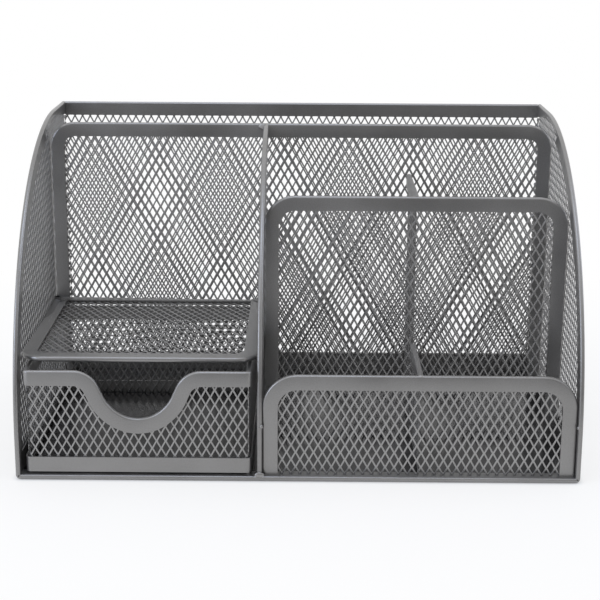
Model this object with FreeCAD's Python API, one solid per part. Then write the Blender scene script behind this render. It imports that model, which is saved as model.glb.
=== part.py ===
import FreeCAD, Part
import math
import os

# Mesh desk organiser: a tall rear slot, two rows of pockets and a drawer under a small tray.
# Millimetres. X runs right, Y runs back and Z runs up, from the floor under the footprint's middle.
# Every mesh sheet is edged with thin strip, folded over it into a channel with two flanges.

os.makedirs("parts", exist_ok=True)

# Overall size
overallWidth = 220.0
overallDepth = 140.0
overallHeight = 129.0
noseHeight = 16.0            # straight foot of a side's front edge, below its quarter round

# Mesh sheet, folded strip and the solid sheet of the two floors
meshThickness = 0.9
floorThickness = 0.9
edgeGauge = 0.5              # strip over the edges of the carcass
innerGauge = 0.6             # strip over the inner panels and the drawer
flangeWidth = 6.0
beadDepth = 2.0              # what is left of the strip where its flanges are relieved
foldShare = 0.3              # bevel of a folded edge, as a share of the channel's thickness
cornerBend = 2.4             # outer bend where the strip turns from a side to the front
curveShearing = 1.0          # how far the sheet's straight cuts come inside the large curves
cornerShearing = 4.0         # the same at the small corners
wallBandHeight = 9.5
reliefStart = 54.0           # from the back forward to where a side's flanges end
reliefCant = 5.0             # slant of that end

# Diamonds of the mesh, wide across and long up, drawn at seven times the real pitch
meshShortWay = 25.5
meshLongWay = 44.0
strandWidth = 3.5
sliverShare = 0.12           # smallest part of a diamond that is still cut

# Inner panels, each set by its middle plane
rearSlotDepth = 41.0         # back of the object to the tall panel
pocketSetback = 47.4         # front of the object to the medium panel
lowSetback = 3.5             # front of the object to the low panel
lowPanelTop = 42.6
tallCornerRadius = 10.5
mediumCornerRadius = 12.5
lowCornerRadius = 13.5
drawerBayWidth = 95.0        # left of the object to the main divider
dividerSetback = 1.0
dividerDrop = 2.4            # the main divider's curve lies this much under the sides' curve
mediumDrop = 1.0             # the medium panel's top lies this much under the main divider's curve
tabLength = 2.2
tabHeight = 3.2

# Tray over the drawer
deckTop = 47.8
deckSetback = 7.5
deckFrontRadius = 9.5
deckRearRadius = 2.0

# Drawer
drawerSetback = 1.2
drawerRearGap = 1.3          # the shut drawer stops this much short of the tall panel
drawerSideGap = 2.0
drawerTopGap = 1.6
drawerRunningGap = 0.3
drawerBandLift = 0.8         # foot of the wall bands above the lip that slides
drawerCornerRadius = 2.2
drawerLipWidth = 4.0
scoopDepth = 19.2
scoopAngle = 66.0            # degrees, slope of the scoop's flanks
bowlRadius = 14.2
shoulderRadius = 10.5

overrun = 10.0               # how far cutting tools and trimmed outlines run past a piece

# Places worked out from the sizes
leftX = -overallWidth / 2
rightX = overallWidth / 2
frontY = -overallDepth / 2
backY = overallDepth / 2
edgeChannel = meshThickness + 2 * edgeGauge
innerChannel = meshThickness + 2 * innerGauge
sideRadius = overallHeight - noseHeight
curveEndY = frontY + sideRadius
floorBottom = edgeGauge
floorTop = floorBottom + floorThickness
floorMiddle = (floorBottom + floorTop) / 2
innerLeftX = leftX + edgeChannel
innerRightX = rightX - edgeChannel
meshLeftX = leftX + edgeGauge + meshThickness
meshRightX = -meshLeftX
backSheetY = backY - edgeGauge - meshThickness / 2
tallY = backY - rearSlotDepth
mediumY = frontY + pocketSetback
lowY = frontY + lowSetback
tallFrontY = tallY - innerChannel / 2
dividerX = leftX + drawerBayWidth
dividerMeshLeftX = dividerX - meshThickness / 2
dividerMeshRightX = dividerX + meshThickness / 2
dividerFrontY = frontY + dividerSetback
dividerTop = overallHeight - dividerDrop
dividerCurveY = dividerFrontY + sideRadius
dividerCurveZ = dividerTop - sideRadius


def dividerHeight(y):
    # Height of the main divider's curve at a depth.
    reach = min(0, y - dividerCurveY)
    return dividerCurveZ + math.sqrt(sideRadius ** 2 - reach ** 2)


mediumTop = dividerHeight(mediumY) - mediumDrop
tallTop = dividerHeight(tallFrontY)
pocketDividerX = (dividerX + innerChannel / 2 + innerRightX) / 2


def chordCount(radius, turn, shearing):
    # Fewest straight cuts that stay within the shearing depth of an arc.
    return math.ceil(turn / 2 / math.acos(max(0, 1 - shearing / radius)))


def roundedFace(corners, shearing=0):
    # Face in the drawing plane from corners given as (across, up, radius). With a shearing depth,
    # its rounds are made of straight cuts, as a sheet's are where the strip covers them.
    count = len(corners)
    points = [FreeCAD.Vector(across, up, 0) for across, up, radius in corners]
    starts = list(points)
    ends = list(points)
    arcs = {}
    for index in range(count):
        radius = corners[index][2]
        if radius > 0:
            here = points[index]
            toBefore = (points[index - 1] - here).normalize()
            toAfter = (points[(index + 1) % count] - here).normalize()
            half = toBefore.getAngle(toAfter) / 2
            inward = (toBefore + toAfter).normalize()
            starts[index] = here + toBefore * (radius / math.tan(half))
            ends[index] = here + toAfter * (radius / math.tan(half))
            middle = here + inward * (radius / math.sin(half) - radius)
            arc = Part.Arc(starts[index], middle, ends[index]).toShape()
            arcs[index] = [arc]
            if shearing > 0:
                cuts = chordCount(radius, math.pi - 2 * half, shearing)
                arcs[index] = Part.makePolygon(arc.discretize(cuts + 1)).Edges
    edges = []
    for index in range(count):
        edges += arcs.get(index, [])
        edges.append(Part.makeLine(ends[index], starts[(index + 1) % count]))
    return Part.Face(Part.Wire(edges))


def rectangle(u0, v0, u1, v1):
    return roundedFace([(u0, v0, 0), (u1, v0, 0), (u1, v1, 0), (u0, v1, 0)])


def box(x0, y0, z0, x1, y1, z1):
    return Part.makeBox(x1 - x0, y1 - y0, z1 - z0, FreeCAD.Vector(x0, y0, z0))


def inset(face, distance):
    # Outline moved inward, with its corners kept.
    moved = face.makeOffset2D(-distance, join=2)
    return moved.Faces[0]


def slab(face, thickness):
    # Plate centred on the drawing plane.
    solid = face.extrude(FreeCAD.Vector(0, 0, thickness))
    solid.translate(FreeCAD.Vector(0, 0, -thickness / 2))
    return solid


def foldedSlab(face, thickness):
    # Plate with both its rims bevelled, as strip is where it folds over an edge.
    solid = slab(face, thickness)
    rims = [edge for edge in solid.Edges if edge.BoundBox.ZLength < thickness / 2]
    return solid.makeChamfer(thickness * foldShare, rims)


def standAcross(shape, y):
    # Drawing plane to a wall across the object: across is X, up is Z.
    turned = shape.copy()
    turned.rotate(FreeCAD.Vector(), FreeCAD.Vector(1, 0, 0), 90)
    turned.translate(FreeCAD.Vector(0, y, 0))
    return turned


def standAlong(shape, x):
    # Drawing plane to a wall along the object: across is Y, up is Z.
    turned = shape.copy()
    turned.rotate(FreeCAD.Vector(), FreeCAD.Vector(1, 1, 1), 120)
    turned.translate(FreeCAD.Vector(x, 0, 0))
    return turned


def layFlat(shape, z):
    moved = shape.copy()
    moved.translate(FreeCAD.Vector(0, 0, z))
    return moved


def diamond(u, v, shortWay, longWay):
    # One opening of the mesh, with half a strand taken off along each side.
    pitch = shortWay * longWay / math.hypot(shortWay, longWay)
    openShare = 1 - strandWidth / pitch
    halfAcross = openShare * shortWay / 2
    halfUp = openShare * longWay / 2
    return roundedFace([(u - halfAcross, v, 0), (u, v - halfUp, 0), (u + halfAcross, v, 0), (u, v + halfUp, 0)])


def meshHoles(field):
    # Staggered diamonds over a window, clipped by its edge and drawn out so that whole ones fill it.
    bounds = field.BoundBox
    columns = max(1, round(bounds.XLength / meshShortWay))
    rows = max(1, round(bounds.YLength / meshLongWay))
    shortWay = bounds.XLength / columns
    longWay = bounds.YLength / rows
    diamonds = []
    for column in range(2 * columns + 1):
        for row in range(2 * rows + 1):
            if (column + row) % 2 == 1:
                u = bounds.XMin + column * shortWay / 2
                v = bounds.YMin + row * longWay / 2
                diamonds.append(diamond(u, v, shortWay, longWay))
    whole = max(face.Area for face in diamonds)
    clipped = field.common(Part.makeCompound(diamonds))
    return [face for face in clipped.Faces if face.Area > sliverShare * whole]


def meshSheet(outline, field):
    # Expanded mesh: one face with its diamonds cut out, given its thickness.
    holes = meshHoles(field)
    return slab(outline.cut(Part.makeCompound(holes)).Faces[0], meshThickness)


def longEdges(bar, z):
    # The two lengthwise edges of a bar at a height.
    level = [edge for edge in bar.Edges if abs(edge.BoundBox.Center.z - z) < meshThickness / 2]
    level.sort(key=lambda edge: edge.Length)
    return level[-2:]


def edgedPanel(corners, region, gauge, shearing):
    # Mesh panel in the drawing plane, and the folded strip round its edges inside the region.
    # Where the outline runs past the region, the panel has no strip. The mesh runs on under the strip.
    thickness = meshThickness + 2 * gauge
    outline = roundedFace(corners)
    sheared = roundedFace(corners, shearing)
    sheetFace = inset(sheared, gauge).common(region).Faces[0]
    field = inset(sheared, flangeWidth - shearing).common(region).Faces[0]
    strip = foldedSlab(outline, thickness).common(slab(region, thickness))
    strip = strip.cut(slab(inset(outline, flangeWidth), thickness + overrun))
    strip = strip.cut(slab(sheetFace, meshThickness))
    return strip, meshSheet(sheetFace, field)


nodes = {}


def keep(name, shape):
    nodes[name] = shape.Solids[0]


def frontEnvelope():
    return box(leftX, frontY, 0, rightX, frontY + flangeWidth, edgeChannel)


def mitreWaste(sign):
    # Wedge under the 45 degree joint of a side strip and the front strip, and the bend's waste.
    corner = sign * overallWidth / 2
    inner = corner - sign * (edgeChannel + overrun)
    points = [
        FreeCAD.Vector(corner + sign * overrun, 0, -overrun),
        FreeCAD.Vector(inner, 0, edgeChannel + overrun),
        FreeCAD.Vector(inner, 0, -overrun),
    ]
    wedge = Part.Face(Part.makePolygon(points + points[:1])).extrude(FreeCAD.Vector(0, overallDepth, 0))
    wedge.translate(FreeCAD.Vector(0, frontY - overrun, 0))
    middleX = corner - sign * cornerBend
    low = min(corner, middleX) - max(0, -sign) * overrun
    high = max(corner, middleX) + max(0, sign) * overrun
    square = box(low, frontY - overrun, -overrun, high, frontY + flangeWidth, cornerBend)
    bend = Part.makeCylinder(cornerBend, overallDepth, FreeCAD.Vector(middleX, frontY - overrun, cornerBend),
                             FreeCAD.Vector(0, 1, 0))
    return wedge, square.cut(bend)


def sideReliefWindow():
    # Stretch near the top of a side where the flanges are cut back to the bead for the bend.
    flangeEndY = backY - reliefStart
    innerRadius = sideRadius - flangeWidth
    flangeEndZ = noseHeight + math.sqrt(innerRadius ** 2 - (curveEndY - flangeEndY) ** 2)
    tailRise = (flangeWidth - beadDepth) / (backY - curveEndY)
    lowZ = overallHeight - flangeWidth - reliefCant
    points = [
        (flangeEndY + reliefCant, lowZ - flangeWidth, 0),
        (backY + overrun, lowZ - flangeWidth, 0),
        (backY + overrun, overallHeight - flangeWidth - tailRise * overrun, 0),
        (curveEndY, overallHeight - beadDepth, 0),
        (curveEndY - beadDepth / tailRise, overallHeight, 0),
        (flangeEndY - reliefCant, overallHeight, 0),
        (flangeEndY - reliefCant, flangeEndZ + reliefCant, 0),
        (flangeEndY, flangeEndZ, 0),
    ]
    inside = inset(sideOutline(), beadDepth)
    return roundedFace(points).common(inside).Faces[0]


def sideOutline(shearing=0):
    corners = [
        (frontY, -overrun, 0),
        (backY + overrun, -overrun, 0),
        (backY + overrun, overallHeight, 0),
        (frontY, overallHeight, sideRadius),
    ]
    return roundedFace(corners, shearing)


def backSheetFace():
    return rectangle(meshLeftX, edgeChannel, meshRightX, overallHeight - edgeGauge)


def backSheetSpace():
    # What the back's sheet fills with its openings closed. Strip and bands give way to it.
    return standAcross(slab(backSheetFace(), meshThickness), backSheetY)


def makeSides():
    # The sheet ends above the floor and short of the back. The window leaves only the bead at the relief.
    outline = sideOutline()
    sheared = sideOutline(curveShearing)
    region = rectangle(frontY, 0, backY, overallHeight)
    sheetRegion = rectangle(frontY, edgeChannel, backY - edgeGauge, overallHeight)
    fieldRegion = rectangle(frontY, wallBandHeight, backY - edgeChannel, overallHeight)
    window = inset(outline, flangeWidth).fuse(sideReliefWindow()).removeSplitter().Faces[0]
    sheetFace = inset(sheared, edgeGauge).common(sheetRegion).Faces[0]
    sheet = meshSheet(sheetFace, inset(sheared, beadDepth).common(fieldRegion).Faces[0])
    strip = foldedSlab(outline, edgeChannel).common(slab(region, edgeChannel))
    strip = strip.cut(slab(window, edgeChannel + overrun)).cut(slab(sheetFace, meshThickness))
    wedge, bendWaste = mitreWaste(-1)
    middleX = leftX + edgeChannel / 2
    strip = standAlong(strip, middleX).cut(wedge).cut(bendWaste).cut(backSheetSpace())
    band = box(leftX, frontY + flangeWidth, 0, innerLeftX, backY, wallBandHeight)
    feet = longEdges(band, 0)
    band = band.makeChamfer(edgeChannel * foldShare, feet).cut(backSheetSpace())
    band = band.cut(standAlong(slab(sheetFace, meshThickness), middleX))
    mirror = FreeCAD.Vector(1, 0, 0)
    for name, shape in (("edge_channel", strip), ("side_mesh", standAlong(sheet, middleX)), ("wall_band", band)):
        keep("left_" + name, shape)
        keep("right_" + name, shape.mirror(FreeCAD.Vector(), mirror))


def makeBack():
    field = rectangle(innerLeftX, wallBandHeight, innerRightX, overallHeight - flangeWidth)
    keep("back_mesh", standAcross(meshSheet(backSheetFace(), field), backSheetY))
    rail = box(innerLeftX, backY - edgeChannel, overallHeight - flangeWidth, innerRightX, backY, overallHeight)
    rail = rail.makeChamfer(edgeChannel * foldShare, longEdges(rail, overallHeight))
    keep("back_top_rail", rail.cut(backSheetSpace()))
    band = box(innerLeftX, backY - edgeChannel, 0, innerRightX, backY, wallBandHeight)
    band = band.makeChamfer(edgeChannel * foldShare, longEdges(band, 0))
    keep("back_wall_band", band.cut(backSheetSpace()))


def makeFloor():
    # Solid sheet in the strip across the front, with a lip under its other three edges.
    rearY = backY - edgeChannel
    sheet = layFlat(slab(rectangle(innerLeftX, frontY + edgeGauge, innerRightX, rearY), floorThickness), floorMiddle)
    keep("floor_sheet", sheet)
    channel = frontEnvelope()
    nose = [edge for edge in channel.Edges if edge.BoundBox.YMax < frontY + edgeGauge
            and edge.BoundBox.XLength > overallWidth / 2]
    channel = channel.makeChamfer(edgeChannel * foldShare, nose)
    channel = channel.cut(sheet)
    for sign in (-1, 1):
        wedge, bendWaste = mitreWaste(sign)
        corner = sign * overallWidth / 2
        inner = corner - sign * edgeChannel
        end = box(min(corner, inner), frontY, 0, max(corner, inner), frontY + flangeWidth, edgeChannel)
        channel = channel.cut(end.cut(wedge)).cut(bendWaste)
    keep("front_edge_channel", channel)
    lip = box(innerLeftX, frontY + flangeWidth, 0, innerRightX, rearY, floorBottom)
    gap = box(innerLeftX + flangeWidth, frontY, -overrun, innerRightX - flangeWidth, rearY - flangeWidth, overrun)
    keep("floor_lip", lip.cut(gap))


def makeCrossPanel(name, left, right, y, top, cornerRadius):
    # Inverted U of strip round a mesh that stands on the floor.
    corners = [
        (left, -overrun, 0),
        (right, -overrun, 0),
        (right, top, cornerRadius),
        (left, top, cornerRadius),
    ]
    strip, sheet = edgedPanel(corners, rectangle(left, floorTop, right, top), innerGauge, cornerShearing)
    bands = [
        box(leftX, frontY, 0, innerLeftX, backY, wallBandHeight),
        box(innerRightX, frontY, 0, rightX, backY, wallBandHeight),
        frontEnvelope(),
    ]
    seat = Part.makeCompound(bands)
    keep(name + "_frame", standAcross(strip, y).cut(seat))
    keep(name + "_mesh", standAcross(sheet, y).cut(seat))


def makeMainDivider():
    # The curve is drawn to its end behind the tall panel and trimmed at the panel's face.
    corners = [
        (dividerFrontY, -overrun, 0),
        (dividerCurveY + overrun, -overrun, 0),
        (dividerCurveY + overrun, dividerTop, 0),
        (dividerFrontY, dividerTop, sideRadius),
    ]
    region = rectangle(dividerFrontY, floorTop, tallFrontY, dividerTop)
    strip, sheet = edgedPanel(corners, region, innerGauge, curveShearing)
    faceX = dividerX - innerChannel / 2
    tab = [
        FreeCAD.Vector(faceX, tallFrontY, tallTop),
        FreeCAD.Vector(faceX - tabLength, tallFrontY, tallTop),
        FreeCAD.Vector(faceX - tabLength, tallFrontY, tallTop - tabHeight / 2),
        FreeCAD.Vector(faceX, tallFrontY, tallTop - tabHeight),
    ]
    plate = Part.Face(Part.makePolygon(tab + tab[:1])).extrude(FreeCAD.Vector(0, -2 * innerGauge, 0))
    strip = standAlong(strip, dividerX).cut(frontEnvelope())
    keep("main_divider_rim", strip.fuse(plate).removeSplitter())
    keep("main_divider_mesh", standAlong(sheet, dividerX).cut(frontEnvelope()))


def makePocketDivider(name, x, startY, endY, top):
    # Mesh wall between two cross panels, with strip along its top edge only.
    corners = [
        (startY - overrun, -overrun, 0),
        (endY + overrun, -overrun, 0),
        (endY + overrun, top, 0),
        (startY - overrun, top, 0),
    ]
    strip, sheet = edgedPanel(corners, rectangle(startY, floorTop, endY, top), innerGauge, cornerShearing)
    keep(name + "_rim", standAlong(strip, x))
    keep(name + "_mesh", standAlong(sheet, x).cut(frontEnvelope()))


def makeDeck():
    corners = [
        (meshLeftX, frontY + deckSetback, deckFrontRadius),
        (dividerMeshLeftX, frontY + deckSetback, deckFrontRadius),
        (dividerMeshLeftX, tallFrontY, deckRearRadius),
        (meshLeftX, tallFrontY, deckRearRadius),
    ]
    strip, sheet = edgedPanel(corners, roundedFace(corners), innerGauge, cornerShearing)
    middleZ = deckTop - innerChannel / 2
    keep("deck_frame", layFlat(strip, middleZ))
    keep("deck_mesh", layFlat(sheet, middleZ))


# Drawer places
drawerLeftX = innerLeftX + drawerSideGap
drawerRightX = dividerX - innerChannel / 2 - drawerSideGap
drawerFrontY = frontY + drawerSetback
drawerRearY = tallFrontY - drawerRearGap
drawerLipBottom = edgeChannel + drawerRunningGap
drawerFloorMiddle = drawerLipBottom + innerGauge + floorThickness / 2
drawerBandBottom = drawerLipBottom + drawerBandLift
drawerBandTop = drawerBandBottom + flangeWidth
drawerTop = deckTop - innerChannel - drawerTopGap
drawerMiddleX = (drawerLeftX + drawerRightX) / 2


def drawerPlan(distance):
    # Outline of the drawer from above, moved inward by a distance. Its inner corners are folded sharp.
    radius = drawerCornerRadius - distance if distance < innerChannel / 2 else 0
    return roundedFace([
        (drawerLeftX + distance, drawerFrontY + distance, radius),
        (drawerRightX - distance, drawerFrontY + distance, radius),
        (drawerRightX - distance, drawerRearY - distance, radius),
        (drawerLeftX + distance, drawerRearY - distance, radius),
    ])


def drawerRing(outer, inner, low, high):
    # Wall that follows the drawer's outline, between two insets and two heights.
    height = FreeCAD.Vector(0, 0, high - low)
    ring = drawerPlan(outer).extrude(height).cut(drawerPlan(inner).extrude(height))
    return layFlat(ring, low)


def scoopFace(shearing=0):
    # Front elevation: a straight top edge with a round finger scoop in its middle.
    # The bowl is one round between two flanks, which would meet below it. The outline runs past
    # the drawer at the sides and below, where the front has no strip.
    flankSlope = math.tan(math.radians(scoopAngle))
    halfTurn = math.tan(math.radians(scoopAngle) / 2)
    mouthHalf = bowlRadius * halfTurn + scoopDepth / flankSlope
    flanksMeetZ = drawerTop - mouthHalf * flankSlope
    corners = [
        (drawerLeftX - overrun, -overrun, 0),
        (drawerRightX + overrun, -overrun, 0),
        (drawerRightX + overrun, drawerTop, 0),
        (drawerMiddleX + mouthHalf, drawerTop, shoulderRadius),
        (drawerMiddleX, flanksMeetZ, bowlRadius),
        (drawerMiddleX - mouthHalf, drawerTop, shoulderRadius),
        (drawerLeftX - overrun, drawerTop, 0),
    ]
    return roundedFace(corners, shearing)


def makeDrawerWalls():
    meshOuter = innerGauge
    meshInner = innerGauge + meshThickness
    meshLow = drawerBandBottom + innerGauge
    meshHigh = drawerTop - innerGauge
    ring = drawerRing(meshOuter, meshInner, meshLow, meshHigh)
    flatLeft = drawerLeftX + drawerCornerRadius
    flatRight = drawerRightX - drawerCornerRadius
    flatFront = drawerFrontY + drawerCornerRadius
    flatRear = drawerRearY - drawerCornerRadius
    elevation = scoopFace()
    sheared = scoopFace(curveShearing)
    sheetTop = inset(sheared, innerGauge + curveShearing)
    frontShape = standAcross(slab(sheetTop, overallDepth), drawerFrontY)

    # Bands
    block = layFlat(drawerPlan(0).extrude(FreeCAD.Vector(0, 0, flangeWidth)), drawerTop - flangeWidth)
    crown = [edge for edge in block.Edges if edge.BoundBox.ZMin > drawerTop - innerGauge]
    block = block.makeChamfer(innerChannel * foldShare, crown)
    top = block.common(drawerRing(0, innerChannel, drawerTop - flangeWidth, drawerTop)).cut(ring)
    frontSpace = box(flatLeft, drawerFrontY - overrun, 0, flatRight, flatFront, overallHeight)
    keep("drawer_rim_band", top.cut(frontSpace))
    bottom = drawerRing(0, innerChannel, drawerBandBottom, drawerBandTop)
    keep("drawer_bottom_band", bottom.cut(ring))
    front = foldedSlab(elevation, innerChannel).cut(slab(inset(elevation, flangeWidth), overrun))
    front = front.common(slab(rectangle(flatLeft, drawerBandTop, flatRight, drawerTop), innerChannel))
    front = front.cut(slab(sheetTop, meshThickness))
    keep("drawer_front_band", standAcross(front, drawerFrontY + innerChannel / 2))

    # Mesh walls: the ring is split at its corners, and each stretch gets its diamonds
    corners = {
        "left": (drawerLeftX, drawerRearY, drawerLeftX, drawerFrontY),
        "front": (drawerLeftX, drawerFrontY, drawerRightX, drawerFrontY),
        "right": (drawerRightX, drawerFrontY, drawerRightX, drawerRearY),
        "rear": (drawerRightX, drawerRearY, drawerLeftX, drawerRearY),
    }
    reach = (drawerRightX - drawerLeftX) / 2
    inner = {
        "left": ((drawerLeftX + reach, drawerFrontY + reach), (drawerLeftX + reach, drawerRearY - reach)),
        "front": ((drawerRightX - reach, drawerFrontY + reach), (drawerLeftX + reach, drawerFrontY + reach)),
        "right": ((drawerRightX - reach, drawerRearY - reach), (drawerRightX - reach, drawerFrontY + reach)),
        "rear": ((drawerLeftX + reach, drawerRearY - reach), (drawerRightX - reach, drawerRearY - reach)),
    }
    sideField = rectangle(flatFront, drawerBandTop, flatRear, drawerTop - flangeWidth)
    rearField = rectangle(flatLeft, drawerBandTop, flatRight, drawerTop - flangeWidth)
    frontField = inset(sheared, flangeWidth - curveShearing)
    frontField = frontField.common(rectangle(flatLeft, drawerBandTop, flatRight, drawerTop)).Faces[0]
    cutters = {
        "left": standAlong(slab(Part.makeCompound(meshHoles(sideField)), overrun), drawerLeftX),
        "front": standAcross(slab(Part.makeCompound(meshHoles(frontField)), overrun), drawerFrontY),
        "right": standAlong(slab(Part.makeCompound(meshHoles(sideField)), overrun), drawerRightX),
        "rear": standAcross(slab(Part.makeCompound(meshHoles(rearField)), overrun), drawerRearY),
    }
    for side in corners:
        x0, y0, x1, y1 = corners[side]
        points = [FreeCAD.Vector(x0, y0, 0), FreeCAD.Vector(x1, y1, 0)]
        points += [FreeCAD.Vector(x, y, 0) for x, y in inner[side]]
        sector = Part.Face(Part.makePolygon(points + points[:1])).extrude(FreeCAD.Vector(0, 0, overallHeight))
        wall = ring.common(sector)
        if side == "front":
            wall = wall.common(frontShape)
        keep("drawer_" + side + "_mesh", wall.cut(cutters[side]))


def makeDrawerFloor():
    # Solid sheet with a lip under its edges, on which the drawer slides.
    outline = drawerPlan(innerChannel)
    keep("drawer_floor_sheet", layFlat(slab(outline, floorThickness), drawerFloorMiddle))
    lip = outline.cut(inset(outline, drawerLipWidth)).Faces[0].extrude(FreeCAD.Vector(0, 0, innerGauge))
    keep("drawer_floor_lip", layFlat(lip, drawerLipBottom))


makeSides()
makeBack()
makeFloor()
makeCrossPanel("tall_panel", meshLeftX, meshRightX, tallY, tallTop, tallCornerRadius)
makeCrossPanel("medium_panel", dividerMeshRightX, meshRightX, mediumY, mediumTop, mediumCornerRadius)
makeCrossPanel("low_panel", dividerX + innerChannel / 2, innerRightX, lowY, lowPanelTop, lowCornerRadius)
makeMainDivider()
makePocketDivider("front_divider", pocketDividerX, lowY + innerChannel / 2, mediumY - innerChannel / 2, lowPanelTop)
makePocketDivider("rear_divider", pocketDividerX, mediumY + innerChannel / 2, tallFrontY, mediumTop)
makeDeck()
makeDrawerWalls()
makeDrawerFloor()

for name, shape in nodes.items():
    shape.exportStep("parts/" + name + ".step")
print(len(nodes), "pieces written")
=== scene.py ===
import math
import bmesh
import bpy
from mathutils import Matrix, Vector


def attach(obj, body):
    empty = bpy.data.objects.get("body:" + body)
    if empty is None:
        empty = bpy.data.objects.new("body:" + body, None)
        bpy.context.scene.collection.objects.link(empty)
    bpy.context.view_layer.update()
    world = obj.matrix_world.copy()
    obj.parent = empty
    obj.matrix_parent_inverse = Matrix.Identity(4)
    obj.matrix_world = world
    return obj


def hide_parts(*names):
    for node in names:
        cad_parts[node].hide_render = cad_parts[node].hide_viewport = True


# Desk organiser of expanded steel mesh, edged with folded strip and sprayed pewter grey.
# Sizes in the dictionaries are millimetres, but for the lamps', and the scene itself is in metres.

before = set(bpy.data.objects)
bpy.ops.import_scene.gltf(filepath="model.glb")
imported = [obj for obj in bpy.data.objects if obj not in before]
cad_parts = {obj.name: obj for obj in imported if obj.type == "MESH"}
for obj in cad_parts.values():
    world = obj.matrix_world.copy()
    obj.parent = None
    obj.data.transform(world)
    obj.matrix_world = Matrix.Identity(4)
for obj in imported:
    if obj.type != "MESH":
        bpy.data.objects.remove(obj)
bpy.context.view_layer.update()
bpy.ops.object.select_all(action="DESELECT")
print("frame loaded:", len(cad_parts), "nodes")
mm = 0.001


# Camera, where the photograph was taken from

cameraSetup = {"x": 2.68, "y": -605.93, "z": 219.03, "turn": 0.24, "down": 15.21, "roll": 0.34, "lens": 88.5}


def makeCamera():
    bpy.ops.object.camera_add(location=(cameraSetup["x"] * mm, cameraSetup["y"] * mm, cameraSetup["z"] * mm))
    camera = bpy.context.object
    camera.name = "photoCamera"
    camera.data.lens = cameraSetup["lens"]
    camera.data.sensor_width = 36
    camera.data.clip_start = 0.01
    turn = Matrix.Rotation(math.radians(cameraSetup["turn"]), 4, "Z")
    tilt = Matrix.Rotation(math.radians(90 - cameraSetup["down"]), 4, "X")
    roll = Matrix.Rotation(math.radians(cameraSetup["roll"]), 4, "Z")
    camera.rotation_euler = (turn @ tilt @ roll).to_euler()
    bpy.context.scene.camera = camera


makeCamera()


# Materials

def shade(hexColour):
    # sRGB hex to linear colour
    parts = [int(hexColour[i:i + 2], 16) / 255 for i in (1, 3, 5)]
    return tuple(p / 12.92 if p < 0.04045 else ((p + 0.055) / 1.055) ** 2.4 for p in parts) + (1,)


def addNode(tree, kind, settings=None, links=None):
    # One node with its properties or socket values, and what feeds its sockets
    node = tree.nodes.new(kind)
    for key, value in (settings or {}).items():
        if isinstance(key, str) and hasattr(node, key):
            setattr(node, key, value)
        else:
            node.inputs[key].default_value = value
    for key, source in (links or {}).items():
        tree.links.new(source, node.inputs[key])
    return node


paints = {
    "stripPaint": {"dark": "#888786", "light": "#999897", "metallic": 0.85, "roughness": 0.36, "wave": 0.5},
    # the mesh's paint is the strip's paint made lighter: painted highlight for the sheen its strands catch from above
    "litMeshPaint": {"dark": "#939291", "light": "#A5A4A3", "metallic": 0.85, "roughness": 0.38, "wave": 0.0},
    # the floors' paint is the same paint made darker: painted shade for the dim inside of the pockets and the drawer
    "shadedFloorPaint": {"dark": "#4D4C4C", "light": "#595858", "metallic": 0.85, "roughness": 0.18, "wave": 0.2},
    "weldPaint": {"dark": "#8D8C8B", "light": "#A3A2A1", "metallic": 0.85, "roughness": 0.33, "wave": 0.0},
}


def makePaint(name):
    # Sprayed metallic pewter enamel on steel: aluminium flake gives a grainy satin sheen,
    # the coat settles in a faint orange peel, and thin strip is never quite flat.
    paint = paints[name]
    material = bpy.data.materials.new(name)
    material.use_nodes = True
    tree = material.node_tree
    tree.nodes.clear()
    place = addNode(tree, "ShaderNodeTexCoord").outputs["Object"]
    # flake is 0.05 mm in life, too fine to show, so it is drawn at 0.4 mm
    flake = addNode(tree, "ShaderNodeTexNoise", {"Scale": 2500, "Detail": 2}, {"Vector": place})
    # uneven spray, patches of about 30 mm
    cloud = addNode(tree, "ShaderNodeTexNoise", {"Scale": 33, "Detail": 3}, {"Vector": place})
    # orange peel, 1.5 mm
    peel = addNode(tree, "ShaderNodeTexNoise", {"Scale": 650, "Detail": 1}, {"Vector": place})
    patches = addNode(tree, "ShaderNodeMath", {"operation": "MULTIPLY", 1: 0.55}, {0: cloud.outputs["Fac"]})
    mixed = addNode(tree, "ShaderNodeMath", {"operation": "MULTIPLY_ADD", 1: 0.45},
                    {0: flake.outputs["Fac"], 2: patches.outputs[0]})
    ramp = addNode(tree, "ShaderNodeValToRGB", {}, {"Fac": mixed.outputs[0]})
    ramp.color_ramp.elements[0].position = 0.35
    ramp.color_ramp.elements[0].color = shade(paint["dark"])
    ramp.color_ramp.elements[1].position = 0.65
    ramp.color_ramp.elements[1].color = shade(paint["light"])
    rough = addNode(tree, "ShaderNodeMapRange",
                    {"From Min": 0.3, "From Max": 0.7, "To Min": paint["roughness"] - 0.05,
                     "To Max": paint["roughness"] + 0.06}, {"Value": cloud.outputs["Fac"]})
    bump = addNode(tree, "ShaderNodeBump", {"Strength": 0.25, "Distance": 0.00004}, {"Height": peel.outputs["Fac"]})
    normal = bump.outputs["Normal"]
    if paint["wave"] > 0:
        # the strip's own unevenness from folding, about 20 mm long
        wave = addNode(tree, "ShaderNodeTexNoise", {"Scale": 50, "Detail": 1}, {"Vector": place})
        normal = addNode(tree, "ShaderNodeBump", {"Strength": paint["wave"], "Distance": 0.0003},
                         {"Height": wave.outputs["Fac"], "Normal": normal}).outputs["Normal"]
    skin = addNode(tree, "ShaderNodeBsdfPrincipled", {"Metallic": paint["metallic"]},
                   {"Base Color": ramp.outputs["Color"], "Roughness": rough.outputs["Result"], "Normal": normal})
    addNode(tree, "ShaderNodeOutputMaterial", {}, {"Surface": skin.outputs[0]})
    return material


stripPaint = makePaint("stripPaint")
litMeshPaint = makePaint("litMeshPaint")
shadedFloorPaint = makePaint("shadedFloorPaint")
weldPaint = makePaint("weldPaint")
print("paints mixed:", len(paints))


# Tools that every piece is made with

def takeUp(piece):
    bpy.ops.object.select_all(action="DESELECT")
    piece.select_set(True)
    bpy.context.view_layer.objects.active = piece


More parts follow.
